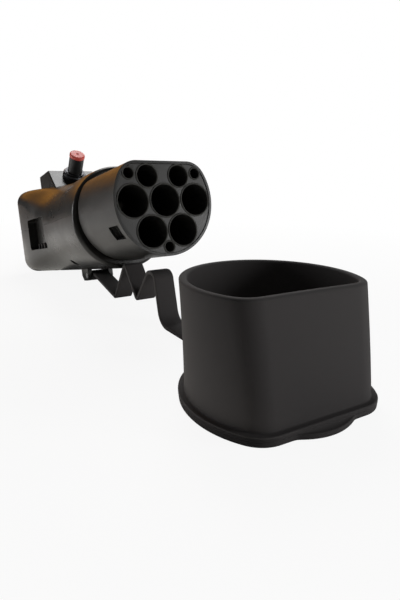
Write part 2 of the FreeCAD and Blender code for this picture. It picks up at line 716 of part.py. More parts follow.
def make_button_cap():
    out = button_out()
    body = rod(button_at(SLEEVE_TOP), out, BUTTON_CAP_RADIUS, BUTTON_CAP_THICK)
    centre = button_at(SLEEVE_TOP + BUTTON_CAP_THICK)
    rim = [e for e in body.Edges if len(e.Vertexes) == 1 and (e.CenterOfMass - centre).Length < 0.1]
    body = body.makeFillet(0.9, rim)
    return body.cut(Part.makeSphere(DIMPLE_RADIUS, centre + out * 0.4))


def coil(start, axis, radius, wire, length, turns):
    """Compression spring from start along axis, its wire inside the given length."""
    height = length - 2 * wire
    helix = Part.makeHelix(height / turns, height, radius)
    angles = [math.radians(60.0 * i) for i in range(6)]
    corners = [Vec(radius + wire * math.cos(a), 0, wire * math.sin(a)) for a in angles]
    section = Part.makePolygon(corners + corners[:1])
    body = Part.Wire(helix).makePipeShell([section], True, True)
    turn = FreeCAD.Rotation(Z_AXIS, axis)
    body.Placement = FreeCAD.Placement(start + axis * wire, turn)
    return body


def make_button_spring():
    start = button_at(BUSH_BOTTOM + BUSH_LIP + FIT)
    length = SLEEVE_SHOULDER - BUSH_BOTTOM - BUSH_LIP - 2 * FIT
    radius = 0.5 * (SLEEVE_RADIUS + ROD_RADIUS)
    return coil(start, button_out(), radius, SPRING_WIRE, length, SPRING_TURNS)


def latch_pad():
    """Point on the lever that the button's dome pushes, FREE beyond the dome."""
    return button_at(ROD_END - FREE)


def make_lever():
    """Latch lever: pad under the button, hub on the pin, beam over the nose and its hook."""
    pad = latch_pad()
    along = slope_direction()
    pad_low = pad + along * 4.0
    pad_high = pad - along * 4.6
    top = lever_top()
    outline = [(pad_low.y, pad_low.z), (pad_high.y, pad_high.z), (LATCH_PIVOT_Y - 4.5, top - 0.6),
               (HOOK_END_Y - 4.0, top), (HOOK_END_Y, hook_top()), (HOOK_END_Y, HOOK_LOW_Z + 1.2),
               (HOOK_END_Y - 2.0, HOOK_LOW_Z), (HOOK_END_Y - 5.5, HOOK_LOW_Z + 4.7),
               (HOOK_END_Y - 6.5, LATCH_PIVOT_Z - 1.6), (LATCH_PIVOT_Y + 8.5, LATCH_PIVOT_Z - 2.0),
               (LATCH_PIVOT_Y + 2.5, LATCH_PIVOT_Z - 3.6), (LATCH_PIVOT_Y - 4.5, LATCH_PIVOT_Z - 5.5),
               (LATCH_SPRING_Y + LATCH_SPRING_RADIUS + 0.6, lever_under()),
               (LATCH_SPRING_Y - LATCH_SPRING_RADIUS - 3.0, lever_under()),
               (pad_low.y + 1.8, pad_low.z - 2.3)]
    body = profile(outline, LATCH_HALF_WIDTH)
    hub = rod(Vec(-LATCH_HALF_WIDTH, LATCH_PIVOT_Y, LATCH_PIVOT_Z), X_AXIS, LATCH_HUB, 2 * LATCH_HALF_WIDTH)
    bore = rod(Vec(-ASIDE, LATCH_PIVOT_Y, LATCH_PIVOT_Z), X_AXIS, LATCH_PIN_RADIUS + SLIDE, 2 * ASIDE)
    return join([body, hub]).cut(bore)


def lever_top():
    return LATCH_PIVOT_Z + LATCH_HUB - 0.4


def hook_top():
    return lever_top() - 3.0


def lever_under():
    return latch_pad().z - 5.0


def make_latch_pin():
    half = BLOCK_HALF_WIDTH - LATCH_PIN_CAP - FIT
    return rod(Vec(-half, LATCH_PIVOT_Y, LATCH_PIVOT_Z), X_AXIS, LATCH_PIN_RADIUS, 2 * half)


def make_latch_spring():
    length = lever_under() - SHELF_TOP - 2 * FIT
    start = place(LATCH_SPRING_Y, SHELF_TOP + FIT)
    return coil(start, Z_AXIS, LATCH_SPRING_RADIUS, SPRING_WIRE, length, SPRING_TURNS)


def make_nose():
    """Round shroud for the inlet, with its flange inside the shells and the spring's shelf."""
    start = nose_disc_start()
    disc = y_rod(0, 0, start, start + NOSE_FLANGE_THICK, NOSE_FLANGE_RADIUS)
    tube = y_rod(0, 0, start, NOSE_END, NOSE_RADIUS)
    tube = tube.makeChamfer(NOSE_LEAD, edges_at_y(tube, NOSE_END))
    root = y_rod(0, 0, start, FLANGE_Y, NOSE_RADIUS + NOSE_ROOT_STEP)
    shelf = block(-LATCH_HALF_WIDTH - 8.0, LATCH_HALF_WIDTH, LATCH_SPRING_Y - 4.0, start + 1.0,
                  SHELF_TOP - SHELF_THICK, SHELF_TOP)
    bore = y_rod(0, 0, start + NOSE_FLANGE_THICK, NOSE_END + 1.0, NOSE_RADIUS - NOSE_WALL)
    window = y_rod(0, 0, start - 1.0, start + NOSE_FLANGE_THICK + 1.0, SHELF_TOP - SHELF_THICK - 0.4)
    return join([disc, tube, root, shelf]).cut(bore).cut(window)


def insert_start():
    return nose_disc_start() + NOSE_FLANGE_THICK + SEAT


def rear_contacts():
    """Each rear contact: place, post radius, tube's outer and inner radius, wire radius."""
    rows = {"neutral": (POST_POWER[0], POST_POWER_RADIUS, SOCKET_POWER, POWER_WIRE),
            "line": (POST_POWER[1], POST_POWER_RADIUS, SOCKET_POWER, POWER_WIRE),
            "earth": (POST_EARTH, POST_EARTH_RADIUS, SOCKET_EARTH, POWER_WIRE),
            "proximity": (POST_SIGNAL[0], POST_SIGNAL_RADIUS, SOCKET_SIGNAL, SIGNAL_WIRE),
            "control_pilot": (POST_SIGNAL[1], POST_SIGNAL_RADIUS, SOCKET_SIGNAL, SIGNAL_WIRE)}
    return rows


def make_insert():
    """Disc with five posts that carry the rear contacts."""
    start = insert_start()
    parts = [y_rod(0, 0, start, start + INSERT_THICK, NOSE_RADIUS - NOSE_WALL - SEAT)]
    for (x, z), post, _, _ in rear_contacts().values():
        pillar = y_rod(x, z, start, POST_END, post)
        parts.append(pillar.makeChamfer(POST_LEAD, edges_at_y(pillar, POST_END)))
    body = join(parts)
    for (x, z), _, (outer, inner), _ in rear_contacts().values():
        body = body.cut(y_rod(x, z, start - 1.0, POST_END - SOCKET_SETBACK + SEAT, outer + FIT))
        body = body.cut(y_rod(x, z, start, POST_END + 1.0, inner + 0.6))
    return body


def make_socket(place_xz, radii):
    """Contact tube with a blind bore and a solid tail."""
    x, z = place_xz
    outer, inner = radii
    mouth = POST_END - SOCKET_SETBACK
    body = y_rod(x, z, SOCKET_TAIL, mouth, outer)
    return body.cut(y_rod(x, z, mouth - SOCKET_DEPTH, mouth + 1.0, inner))


def rounded_path(points, radii):
    """Straight runs joined by tangent arcs."""
    edges = []
    last = points[0]
    for before, corner, after, radius in zip(points, points[1:], points[2:], radii):
        back = (before - corner).normalize()
        ahead = (after - corner).normalize()
        half = 0.5 * back.getAngle(ahead)
        reach = radius / math.tan(half)
        start = corner + back * reach
        end = corner + ahead * reach
        middle = (back + ahead).normalize()
        crown = corner + middle * (radius / math.sin(half) - radius)
        edges.append(Part.LineSegment(last, start).toShape())
        edges.append(Part.Arc(start, crown, end).toShape())
        last = end
    edges.append(Part.LineSegment(last, points[-1]).toShape())
    return Part.Wire(edges)


def on_side(points, x):
    """The points on the same side of the middle plane as x."""
    return [(math.copysign(px, x), y, z) for px, y, z in points]


def make_wire(front, back, radius, via):
    """Insulated wire from a pin's tail to a rear contact's tail."""
    points = [Vec(front[0], PIN_TAIL + SEAT, front[1]), Vec(front[0], PIN_TAIL + WIRE_LEAD, front[1])]
    points += [Vec(x, y, z) for x, y, z in via]
    points += [Vec(back[0], SOCKET_TAIL - WIRE_LEAD, back[1]), Vec(back[0], SOCKET_TAIL - SEAT, back[1])]
    path = rounded_path(points, [WIRE_BEND] * (len(points) - 2))
    section = Part.Wire(Part.makeCircle(radius, points[0], Y_AXIS))
    return path.makePipeShell([section], True, False)


def pitch():
    """Sine and cosine of the angle that the adapter lies at."""
    a = math.radians(PITCH_DEG)
    return math.sin(a), math.cos(a)


def face_height():
    """Height of the face centre over the table, with the nose's lower edge on the table."""
    s, c = pitch()
    return (NOSE_END - NOSE_LEAD) * s + NOSE_RADIUS * c


def lay_down(shape):
    """From the adapter's frame to the table's frame."""
    shape.rotate(Vec(0, 0, 0), X_AXIS, -PITCH_DEG)
    shape.translate(Vec(0, 0, face_height()))
    return shape


def on_table(y, z):
    """Y and Z in the table's frame of a point in the adapter's frame."""
    s, c = pitch()
    return y * c + z * s, z * c - y * s + face_height()


def cap_wire(radius, flat, z, corner=CAP_CORNER):
    """D outline of the cap at a height, its flat turned away from the adapter."""
    return d_wire(radius, flat, corner, lambda u, v: Vec(u, -v, z))


def cap_radius(z):
    return CAP_BASE_RADIUS + (CAP_TOP_RADIUS - CAP_BASE_RADIUS) * z / CAP_HEIGHT


def cap_flat(z):
    return CAP_BASE_FLAT + (CAP_TOP_FLAT - CAP_BASE_FLAT) * z / CAP_HEIGHT


def cap_cup(inset, z0, z1):
    ends = [cap_wire(cap_radius(z) - inset, cap_flat(z) - inset, z, CAP_CORNER - inset) for z in (z0, z1)]
    return Part.makeLoft(ends, True, True)


def lip_centre():
    """Centre of the finger lip's arc, from the cap's own centre."""
    return CAP_LIP_RADIUS - CAP_BASE_FLAT - CAP_RIM_STEP - CAP_LIP


def band(points, radii, thickness, width):
    """Flat band along a Y-Z route, folded about lines along X."""
    half = 0.5 * thickness
    sides = []
    for sign in (1.0, -1.0):
        edges = []
        first = None
        last = None
        count = len(points)
        for i, (y, z) in enumerate(points):
            here = Vec(0, y, z)
            ahead = (Vec(0, *points[i + 1]) - here).normalize() if i < count - 1 else None
            back = (here - Vec(0, *points[i - 1])).normalize() if i > 0 else None
            normal_in = Vec(0, -back.z, back.y) * (sign * half) if back else None
            normal_out = Vec(0, -ahead.z, ahead.y) * (sign * half) if ahead else None
            if back is None:
                first = last = here + normal_out
                continue
            if ahead is None:
                edges.append(Part.LineSegment(last, here + normal_in).toShape())
                last = here + normal_in
                continue
            turn = back.getAngle(ahead)
            side = 1.0 if back.y * ahead.z - back.z * ahead.y > 0 else -1.0
            radius = radii[i - 1]
            reach = radius * math.tan(0.5 * turn)
            centre = here - back * reach + Vec(0, -back.z, back.y) * (side * radius)
            start = here - back * reach + normal_in
            end = here + ahead * reach + normal_out
            crown_way = (here - centre).normalize()
            crown = centre + crown_way * (radius - side * sign * half)
            edges.append(Part.LineSegment(last, start).toShape())
            edges.append(Part.Arc(start, crown, end).toShape())
            last = end
        sides.append((first, edges, last))
    (a0, left, a1), (b0, right, b1) = sides
    closed = left + [Part.LineSegment(a1, b1).toShape()] + right + [Part.LineSegment(b0, a0).toShape()]
    face = Part.Face(Part.Wire(Part.__sortEdges__(closed)))
    face.translate(Vec(-0.5 * width, 0, 0))
    return face.extrude(Vec(width, 0, 0))


def strap_points():
    """Route of the strap's centre line from its eye to the cap, in the table's frame."""
    eye_y, eye_z = on_table(LUG_Y, LUG_Z)
    low = 0.5 * STRAP_THICK
    tight = STRAP_FOLD
    points = [(eye_y, eye_z + LUG_RADIUS - low)]
    points.append((STRAP_FIRST_FOLD, low))
    points += list(STRAP_FOLDS)
    points.append((STRAP_FOOT, low))
    points.append((CAP_CENTRE_Y + CAP_BASE_RADIUS - CAP_WALL, low))
    return points, [tight, tight, tight, STRAP_BEND, STRAP_BEND, STRAP_ELBOW]


def make_dust_cap():
    """Cap, strap and the strap's eye, moulded in one."""
    cup = cap_cup(0.0, 0.0, CAP_HEIGHT)
    rim = Part.makeLoft([cap_wire(CAP_BASE_RADIUS + CAP_RIM_STEP, CAP_BASE_FLAT + CAP_RIM_STEP, z,
                                  CAP_CORNER + CAP_RIM_STEP) for z in (0.0, CAP_RIM_HEIGHT)], True, True)
    lip = rod(Vec(0, lip_centre(), 0), Z_AXIS, CAP_LIP_RADIUS, CAP_RIM_HEIGHT)
    lip = lip.common(block(-ASIDE, ASIDE, -ASIDE, 0, -ASIDE, ASIDE))
    hollow = cap_cup(CAP_WALL, CAP_FLOOR, CAP_HEIGHT + 1.0)
    body = join([cup, rim, lip]).cut(hollow)
    body.rotate(Vec(0, 0, 0), Z_AXIS, CAP_YAW_DEG)
    body.translate(Vec(CAP_CENTRE_X, CAP_CENTRE_Y, 0))
    points, radii = strap_points()
    strap = band(points, radii, STRAP_THICK, STRAP_WIDTH)
    eye_y, eye_z = on_table(LUG_Y, LUG_Z)
    eye = rod(Vec(-0.5 * STRAP_WIDTH, eye_y, eye_z), X_AXIS, LUG_RADIUS, STRAP_WIDTH)
    bore = rod(Vec(-STRAP_WIDTH, eye_y, eye_z), X_AXIS, STRAP_PIN_RADIUS + SLIDE, 2 * STRAP_WIDTH)
    return join([body, strap, eye]).cut(bore)


def make_strap_pin():
    half = 0.5 * STRAP_WIDTH + FREE + LUG_THICK
    return rod(Vec(-half, LUG_Y, LUG_Z), X_AXIS, STRAP_PIN_RADIUS, 2 * half)


def make_adapter():
    """Every rigid piece, in the adapter's frame."""
    power = power_places()
    signal = signal_places()
    rear = rear_contacts()
    upper, lower = make_shells()
    pieces = {
        "nose_barrel": make_barrel(),
        "contact_carrier": make_carrier(),
        "pin_retainer": make_retainer(),
        "carrier_screws": make_carrier_screws(),
        "root_seal": make_root_seal(),
        "upper_shell": upper,
        "lower_shell": lower,
        "shell_screws": make_shell_screws(),
        "coding_board": make_board(),
        "coding_resistor": make_resistor(),
        "button_bush": make_bush(),
        "button_washer": make_washer(),
        "button_nut": make_nut(),
        "button_sleeve": make_sleeve(),
        "button_cap": make_button_cap(),
        "button_spring": make_button_spring(),
        "latch_lever": make_lever(),
        "latch_pin": make_latch_pin(),
        "latch_spring": make_latch_spring(),
        "vehicle_nose": make_nose(),
        "contact_insert": make_insert(),
        "strap_pin": make_strap_pin(),
    }
    for name in ("earth", "neutral", "line"):
        pieces[name + "_pin"] = make_pin(*power[name], POWER_PIN)
        spot = rear[name][0]
        via = [] if name == "earth" else on_side(POWER_WIRE_VIA, power[name][0])
        pieces[name + "_wire"] = make_wire(power[name], spot, rear[name][3], via)
    for name in ("proximity", "control_pilot"):
        pieces[name + "_pin"] = make_pin(*signal[name], SIGNAL_PIN)
        pieces[name + "_wire"] = make_wire(signal[name], rear[name][0], rear[name][3],
                                           on_side(SIGNAL_WIRE_VIA, signal[name][0]))
    for name, (spot, _, radii, _) in rear.items():
        pieces[name + "_socket"] = make_socket(spot, radii)
    return pieces


def frame_shift():
    """Move that puts the origin under the middle of the whole object."""
    left = CAP_CENTRE_X - CAP_BASE_RADIUS - CAP_RIM_STEP
    front = CAP_CENTRE_Y + lip_centre() * math.cos(math.radians(CAP_YAW_DEG)) - CAP_LIP_RADIUS
    back = max(on_table(HOOK_END_Y, hook_top())[0], on_table(NOSE_END, NOSE_RADIUS - NOSE_LEAD)[0])
    return Vec(-0.5 * (left + FLANGE_HALF_WIDTH), -0.5 * (front + back), 0)


def main():
    os.makedirs("parts", exist_ok=True)
    pieces = {name: lay_down(shape) for name, shape in make_adapter().items()}
    pieces["dust_cap"] = make_dust_cap()
    for name, shape in pieces.items():
        shape.translate(frame_shift())
        shape.exportStep("parts/" + name + ".step")


main()
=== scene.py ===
import json
import math

import bmesh
import bpy
from bpy.props import FloatProperty, FloatVectorProperty, IntProperty, PointerProperty
from mathutils import Matrix, Vector


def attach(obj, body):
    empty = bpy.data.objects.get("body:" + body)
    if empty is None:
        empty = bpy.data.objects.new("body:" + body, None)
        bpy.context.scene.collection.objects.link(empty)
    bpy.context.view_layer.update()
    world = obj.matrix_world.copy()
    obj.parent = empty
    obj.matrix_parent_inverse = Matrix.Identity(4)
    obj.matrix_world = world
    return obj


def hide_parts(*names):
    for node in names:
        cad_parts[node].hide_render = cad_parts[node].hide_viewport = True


bl_info = {
    "name": "Charging Adapter",
    "version": (1, 0, 0),
    "blender": (4, 5, 0),
    "location": "View3D > Sidebar > Adapter",
    "description": "Dresses the vehicle charging adapter: moulded plastics, rubber cap and strap, stage",
    "category": "Object",
}

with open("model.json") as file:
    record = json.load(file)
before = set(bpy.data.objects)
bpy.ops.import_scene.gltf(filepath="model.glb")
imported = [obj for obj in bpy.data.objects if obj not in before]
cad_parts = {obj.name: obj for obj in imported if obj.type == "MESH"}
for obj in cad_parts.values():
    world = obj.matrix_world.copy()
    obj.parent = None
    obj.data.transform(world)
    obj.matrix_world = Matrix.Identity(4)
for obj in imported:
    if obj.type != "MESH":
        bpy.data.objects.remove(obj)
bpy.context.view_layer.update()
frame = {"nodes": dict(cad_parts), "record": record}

# The adapter lies nose up on the table. Its own frame has Y from the plug face towards the nose,
# Z up and the face centre at zero; sizes in that frame are in millimetres.
MM = 0.001
MOUNTS = {mount["name"]: mount for mount in frame["record"]["mounts"]}
NOSE_AXIS = Vector(MOUNTS["nose_shroud"]["axis"]).normalized()
ADAPTER_X = Vector((1.0, 0.0, 0.0))
ADAPTER_Z = ADAPTER_X.cross(NOSE_AXIS)
NOSE_MID_Y = 173.5           # middle of the nose's mount
FACE_CENTRE = Vector(MOUNTS["nose_shroud"]["pos_m"]) - NOSE_AXIS * NOSE_MID_Y * MM
CAP_CENTRE = Vector(MOUNTS["cap_base"]["pos_m"])

AROUND = 256                 # points round a moulded outline
EYE_AROUND = 64
RIM_AROUND = 96
RIM_SECTION = 12             # points round the section of a hole's rim

# Sizes shared with the solids, in millimetres
BARREL_CENTRE_Z = -0.3
FACE_RECESS = 0.4
SEAL_OUTLINE = (25.0, 17.2, 10.0)
SEAL_START = 47.1
SEAL_END = 49.9
NECK_OUTLINE = (23.4, 15.8, 8.0)
POWER_PITCH = 16.0
POWER_HOLE = 7.35
SIGNAL_PLACES = ((-8.0, 11.0), (8.0, 11.0))
SIGNAL_HOLE = 5.0
SCREW_PLACES = ((-17.0, 12.2), (17.0, 12.2), (0.0, -21.2))
SCREW_HOLE = 2.5
LUG_Y = 100.0
LUG_Z = -34.0
LUG_RADIUS = 3.2
EYE_BORE = 1.58
POCKET_FRONT = 110.0
POCKET_BACK = 138.0
POCKET_LOW = -14.0
POCKET_FLOOR_X = 27.2
CAP_BASE = (31.2, 22.5, 10.0)
CAP_TOP = (29.4, 19.0, 10.0)
CAP_YAW = math.radians(-3.5)
CAP_WALL = 2.6
CAP_FLOOR = 3.0
CAP_RIM_HEIGHT = 3.4
CAP_RIM_STEP = 1.9
CAP_LIP_RADIUS = 22.0
CAP_LIP = 3.2
STRAP_ROUTE = ((52.8, 1.0), (38.0, 23.4), (23.2, 6.6), (9.8, 24.4), (3.4, 25.0), (-3.6, 1.0))
STRAP_RADII = (1.7, 1.7, 1.7, 4.0, 4.0, 8.0)
STRAP_END = -55.4

# Sizes of the scene's own forms, in millimetres
CAP_LIP_HEIGHT = 1.9
STRAP_CORNER = 0.55
RIB_LENGTH = 1.5             # out of the pocket's floor
RIB_THICK = 1.2
RIB_HEIGHT = 4.0
RIB_SINK = 0.3               # how deep a rib stands in the floor and the lower edge

# Shares without a unit
STRAP_EDGE_HIGHLIGHT = 0.55             # how strongly the strap's corners carry the painted edge highlight
LEAN_CURVE = 1.3             # power by which the cap's lean grows towards its mouth

# The outlines that a row of the cap can have
LIP = "lip"
RIM = "rim"
WALLED = "wall"


def to_row(x, y, z):
    """From the adapter's own frame, in millimetres, to the row frame, in metres."""
    return FACE_CENTRE + (ADAPTER_X * x + NOSE_AXIS * y + ADAPTER_Z * z) * MM


class CapSettings(bpy.types.PropertyGroup):
    """The dust cap's own shape."""
    height: FloatProperty(
        name="Height", description="Height of the cap", unit="LENGTH", min=0.02, max=0.06, default=0.0412)
    lean_x: FloatProperty(
        name="Lean across", description="How far the soft mouth leans to the right", unit="LENGTH",
        min=-0.006, max=0.006, default=-0.003)
    lean_y: FloatProperty(
        name="Lean along", description="How far the soft mouth leans towards the plug", unit="LENGTH",
        min=-0.006, max=0.006, default=0.0019)
    sag: FloatProperty(
        name="Sag", description="How far the mouth is out of round", unit="LENGTH", min=0.0, max=0.002,
        default=0.00025)


class StrapSettings(bpy.types.PropertyGroup):
    """The folded strap between the housing and the cap."""
    width: FloatProperty(
        name="Width", description="Width of the strap", unit="LENGTH", min=0.004, max=0.02, default=0.0105)
    thickness: FloatProperty(
        name="Thickness", description="Thickness of the strap", unit="LENGTH", min=0.001, max=0.003,
        default=0.002)


class FaceSettings(bpy.types.PropertyGroup):
    """Small repeats on the plug face and in the side pockets."""
    rim: FloatProperty(
        name="Hole rim", description="Radius of the rounded rim round each hole of the face", unit="LENGTH",
        min=0.0001, max=0.001, default=0.00042)
    ribs: IntProperty(
        name="Pocket ribs", description="Upright ribs on the lower edge of each side pocket", min=0,
        max=6, default=3)


class FinishSettings(bpy.types.PropertyGroup):
    """Colours of the moulded parts."""
    housing: FloatVectorProperty(
        name="Housing", description="Colour of the housing shells", subtype="COLOR", size=3,
        min=0.0, max=1.0, default=(0.0085, 0.008, 0.0068))
    barrel: FloatVectorProperty(
        name="Barrel", description="Colour of the plug barrel and its face", subtype="COLOR", size=3,
        min=0.0, max=1.0, default=(0.0085, 0.008, 0.0068))
    face: FloatVectorProperty(
        name="Plug face", description="Colour of the insulating block with the contact holes",
        subtype="COLOR", size=3, min=0.0, max=1.0, default=(0.021, 0.0203, 0.0188))
    rubber: FloatVectorProperty(
        name="Rubber", description="Colour of the dust cap and strap", subtype="COLOR", size=3,
        min=0.0, max=1.0, default=(0.011, 0.0102, 0.0090))
    button: FloatVectorProperty(
        name="Button", description="Colour of the button's cap", subtype="COLOR", size=3,
        min=0.0, max=1.0, default=(0.72, 0.10, 0.075))


class StageSettings(bpy.types.PropertyGroup):
    """Camera and lights."""
    lens: FloatProperty(
        name="Lens", description="Focal length on a 36 mm high frame", unit="CAMERA", default=27.0)
    top_power: FloatProperty(
        name="Top light", description="Power of the wide soft lamp overhead", subtype="POWER", default=2.0)
    side_power: FloatProperty(
        name="Side lights", description="Power of the panels at the sides and the cards on the floor",
        subtype="POWER", default=1.0)
    warm_power: FloatProperty(
        name="Warm light", description="Power of the warm panel behind the object", subtype="POWER",
        default=0.85)


def settings():
    return bpy.context.scene.charging_adapter


# Materials

EDGE_RADIUS = 0.0003         # how far moulded edges look rounded
# Pale colours of the painted edge highlights, on the rubber and on the plug face's hole rims
RUBBER_EDGE_HIGHLIGHT = (0.085, 0.078, 0.068)
FACE_EDGE_HIGHLIGHT = (0.55, 0.53, 0.50)
DUST = (0.09, 0.085, 0.08)
DUST_SHARE = 0.5
SPECK_SCALE = 620.0


def new_material(name):
    """Material with one Principled shader; returns it, its node tree and the shader."""
    material = bpy.data.materials.new(name)
    material.use_nodes = True
    tree = material.node_tree
    shader = tree.nodes["Principled BSDF"]
    return material, tree, shader


def add_noise(tree, scale, detail, roughness=0.55):
    """Noise in the object's own place, with its result as a socket."""
    place = tree.nodes.new("ShaderNodeTexCoord")
    noise = tree.nodes.new("ShaderNodeTexNoise")
    noise.inputs["Scale"].default_value = scale
    noise.inputs["Detail"].default_value = detail
    noise.inputs["Roughness"].default_value = roughness
    tree.links.new(place.outputs["Object"], noise.inputs["Vector"])
    return noise.outputs["Fac"]


def ramp(tree, source, low, high):
    """Maps the middle of a noise to a range of numbers."""
    spread = tree.nodes.new("ShaderNodeMapRange")
    spread.inputs["From Min"].default_value = 0.3
    spread.inputs["From Max"].default_value = 0.7
    spread.inputs["To Min"].default_value = low
    spread.inputs["To Max"].default_value = high
    tree.links.new(source, spread.inputs["Value"])
    return spread.outputs["Result"]


def tint(tree, source, colour, low, high):
    """The colour, made darker and lighter by a noise."""
    shade = tree.nodes.new("ShaderNodeMix")
    shade.data_type = "RGBA"
    shade.inputs["A"].default_value = (*[c * low for c in colour], 1.0)
    shade.inputs["B"].default_value = (*[min(1.0, c * high) for c in colour], 1.0)
    tree.links.new(ramp(tree, source, 0.0, 1.0), shade.inputs["Factor"])
    return shade.outputs["Result"]


def add_bump(tree, shader, source, height, strength):
    """Fine relief over softly rounded edges."""
    bump = tree.nodes.new("ShaderNodeBump")
    bump.inputs["Strength"].default_value = strength
    bump.inputs["Distance"].default_value = height
    edge = tree.nodes.new("ShaderNodeBevel")
    edge.samples = 4
    edge.inputs["Radius"].default_value = EDGE_RADIUS
    tree.links.new(edge.outputs["Normal"], bump.inputs["Normal"])
    tree.links.new(source, bump.inputs["Height"])
    tree.links.new(bump.outputs["Normal"], shader.inputs["Normal"])


def moulded(name, colour, roughness, grain, grain_height, cloud=60.0, spread=(0.8, 1.25), specular=0.5):
    """Moulded plastic or rubber: clouded colour, uneven gloss and a fine eroded grain."""
    material, tree, shader = new_material(name)
    wide = add_noise(tree, cloud, 4.0)
    tree.links.new(tint(tree, wide, colour, *spread), shader.inputs["Base Color"])
    fine = add_noise(tree, grain, 2.0)
    tree.links.new(ramp(tree, wide, roughness - 0.05, roughness + 0.06), shader.inputs["Roughness"])
    shader.inputs["Specular IOR Level"].default_value = specular
    add_bump(tree, shader, fine, grain_height, 0.6)
    return material


def metal(name, colour, roughness, scratch=900.0):
    material, tree, shader = new_material(name)
    wide = add_noise(tree, 140.0, 3.0)
    tree.links.new(tint(tree, wide, colour, 0.88, 1.08), shader.inputs["Base Color"])
    tree.links.new(ramp(tree, add_noise(tree, scratch, 3.0), roughness - 0.06, roughness + 0.08),
                   shader.inputs["Roughness"])
    shader.inputs["Metallic"].default_value = 1.0
    add_bump(tree, shader, add_noise(tree, scratch, 2.0), 0.00002, 0.4)
    return material


def attribute(tree, name):
    node = tree.nodes.new("ShaderNodeAttribute")
    node.attribute_name = name
    return node.outputs["Fac"]


def lighter(tree, shader, factor, colour):
    """Mixes the shader's present colour with a lighter one by a factor."""
    present = shader.inputs["Base Color"].links[0].from_socket
    mix = tree.nodes.new("ShaderNodeMix")
    mix.data_type = "RGBA"
    mix.inputs["B"].default_value = (*colour, 1.0)
    tree.links.new(present, mix.inputs["A"])
    tree.links.new(factor, mix.inputs["Factor"])
    tree.links.new(mix.outputs["Result"], shader.inputs["Base Color"])


def scaled(tree, one, other):
    """One value times another socket or number."""
    node = tree.nodes.new("ShaderNodeMath")
    node.operation = "MULTIPLY"
    tree.links.new(one, node.inputs[0])
    if isinstance(other, float):
        node.inputs[1].default_value = other
    else:
        tree.links.new(other, node.inputs[1])
    return node.outputs["Value"]


def paint_edge_highlights(material, colour):
    """Painted edge highlight: paler where the mesh's edge attribute marks an edge."""
    tree = material.node_tree
    highlight_share = scaled(tree, attribute(tree, "edge"), ramp(tree, add_noise(tree, 160.0, 3.0), 0.25, 0.8))
    lighter(tree, tree.nodes["Principled BSDF"], highlight_share, colour)
    return material


def rubber(name, colour, roughness):
    """Matt rubber with painted highlights along its marked edges, and specks of dust inside the cap."""
    material = moulded(name, colour, roughness, 2400.0, 0.00004, 45.0, (0.8, 1.25), 0.3)
    tree = material.node_tree
    shader = tree.nodes["Principled BSDF"]
    paint_edge_highlights(material, RUBBER_EDGE_HIGHLIGHT)
    specks = tree.nodes.new("ShaderNodeMapRange")
    specks.inputs["From Min"].default_value = 0.66
    specks.inputs["From Max"].default_value = 0.72
    tree.links.new(add_noise(tree, SPECK_SCALE, 1.0), specks.inputs["Value"])
    dust = scaled(tree, specks.outputs["Result"], scaled(tree, attribute(tree, "inside"), DUST_SHARE))
    lighter(tree, shader, dust, DUST)
    return material


def slot_materials():
    """One finished material for each of the record's slots."""
    finish = settings().finish
    return {
        "housing_plastic": moulded("housing_plastic", finish.housing, 0.30, 2600.0, 0.00003, specular=0.4),
        "barrel_plastic": moulded("barrel_plastic", finish.barrel, 0.36, 2200.0, 0.00005, specular=0.4),
        # The plug face's hole rims take a pale painted edge highlight
        "carrier_plastic": paint_edge_highlights(moulded("carrier_plastic", finish.face, 0.44, 1500.0, 0.00010),
                                     FACE_EDGE_HIGHLIGHT),
        "cap_rubber": rubber("cap_rubber", finish.rubber, 0.5),
        "seal_rubber": rubber("seal_rubber", (0.008, 0.008, 0.009), 0.5),
        "button_black": moulded("button_black", (0.014, 0.014, 0.014), 0.4, 2200.0, 0.00003),
        "button_red": moulded("button_red", finish.button, 0.42, 2600.0, 0.00001, 90.0, (0.85, 1.12)),
        "steel": metal("steel", (0.55, 0.55, 0.56), 0.32),
        "bush_metal": metal("bush_metal", (0.07, 0.07, 0.075), 0.38),
        # The contact pins' metal is given a dark colour as painted shade for pins deep in their holes; bare
        # they would be silver
        "contact_metal": metal("contact_metal", (0.10, 0.094, 0.082), 0.5),
        "board": moulded("board", (0.05, 0.22, 0.10), 0.35, 1800.0, 0.00002),
        "resistor": moulded("resistor", (0.62, 0.52, 0.38), 0.4, 1800.0, 0.00002),
        "wire_blue": moulded("wire_blue", (0.05, 0.15, 0.55), 0.4, 1800.0, 0.00002),
        "wire_brown": moulded("wire_brown", (0.20, 0.09, 0.04), 0.4, 1800.0, 0.00002),
        "wire_green": moulded("wire_green", (0.10, 0.36, 0.08), 0.4, 1800.0, 0.00002),
        "wire_grey": moulded("wire_grey", (0.30, 0.30, 0.31), 0.4, 1800.0, 0.00002),
    }


def node_slots():
    """Which slot each CAD node takes, from the record."""
    return {part["node"]: part["material_slot"] for part in frame["record"]["subparts"]}


class ADAPTER_OT_finish_nodes(bpy.types.Operator):
    """Give every CAD node the material of its slot"""
    bl_idname = "adapter.finish_nodes"
    bl_label = "Finish CAD Nodes"

    def execute(self, context):
        slots = node_slots()
        made = slot_materials()
        for name, node in frame["nodes"].items():
            material = made[slots[name]]
            if node.data.materials:
                node.data.materials[0] = material
            else:
                node.data.materials.append(material)
        return {"FINISHED"}


# Own meshes


def finished(name, mesh, material, body, replaced):
    """Object of a mesh with its normals out, smooth, riding on a body and standing for a node."""
    work = bmesh.new()
    work.from_mesh(mesh)
    bmesh.ops.recalc_face_normals(work, faces=work.faces)
    work.to_mesh(mesh)
    work.free()
    mesh.shade_smooth()
    mesh.materials.clear()
    mesh.materials.append(bpy.data.materials[material])
    piece = bpy.data.objects.new(name, mesh)
    bpy.context.scene.collection.objects.link(piece)
    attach(piece, body)
    if replaced:
        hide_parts(replaced)
    return piece


